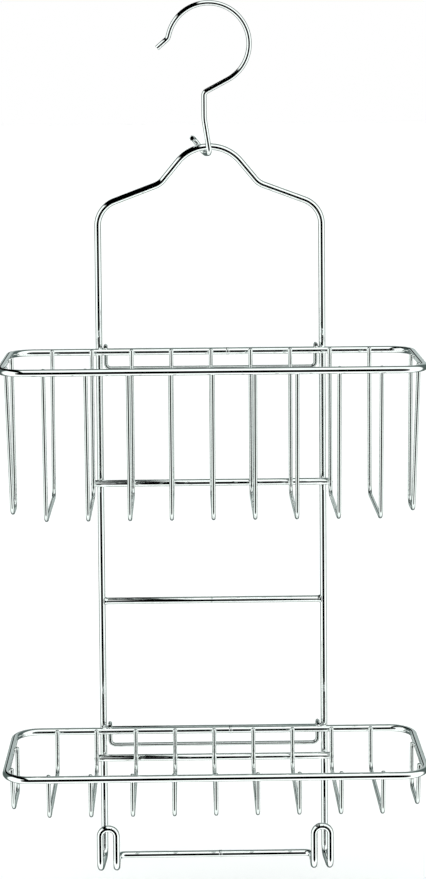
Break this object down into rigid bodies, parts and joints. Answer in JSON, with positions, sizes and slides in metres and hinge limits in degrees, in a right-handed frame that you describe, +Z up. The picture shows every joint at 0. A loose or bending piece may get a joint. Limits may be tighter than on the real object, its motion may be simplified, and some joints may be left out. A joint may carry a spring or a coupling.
{
  "type": "hanging shower caddy",
  "caption": "Wire shower caddy that hangs from a shower arm, with a deep upper basket, a shallow lower basket and small cloth hooks at its foot.",
  "frame": {"origin": "inside top of the hanging hook, where it rests on the shower arm", "axes": "+X across the caddy, +Y towards the wall behind it, +Z up along the tall frame"},
  "size_m": [0.312, 0.1303, 0.668],
  "materials": {
    "chrome": "polished"
  },
  "bodies": {
    "hook": {"hanging_hook": "chrome"},
    "frame": {"frame_loop": "chrome", "upper_crossbar": "chrome", "middle_crossbar": "chrome", "lower_crossbar": "chrome"},
    "upper_basket": {"upper_rim": "chrome", "upper_support_bar": "chrome", "upper_hook_wire": "chrome", "upper_rib_01": "chrome", "upper_rib_02": "chrome", "upper_rib_03": "chrome", "upper_rib_04": "chrome", "upper_rib_05": "chrome", "upper_rib_06": "chrome", "upper_rib_07": "chrome", "upper_rib_08": "chrome", "upper_rib_09": "chrome", "upper_rib_10": "chrome", "upper_rib_11": "chrome"},
    "lower_basket": {"lower_rim": "chrome", "lower_support_bar": "chrome", "lower_hook_wire": "chrome", "lower_rib_01": "chrome", "lower_rib_02": "chrome", "lower_rib_03": "chrome", "lower_rib_04": "chrome", "lower_rib_05": "chrome", "lower_rib_06": "chrome", "lower_rib_07": "chrome", "lower_rib_08": "chrome", "lower_rib_09": "chrome", "lower_rib_10": "chrome", "lower_rib_11": "chrome"}
  },
  "joints": [
    {"name": "frame_swing", "type": "hinge", "parent": "hook", "child": "frame", "pos_m": [0, 0.0056, -0.1075], "axis": [-1, 0, 0], "range_deg": [0, 100]},
    {"name": "upper_basket_lift", "type": "slide", "parent": "frame", "child": "upper_basket", "axis": [0, 0, 1], "range_m": [0, 0.025]},
    {"name": "lower_basket_lift", "type": "slide", "parent": "frame", "child": "lower_basket", "axis": [0, 0, 1], "range_m": [0, 0.025]}
  ]
}
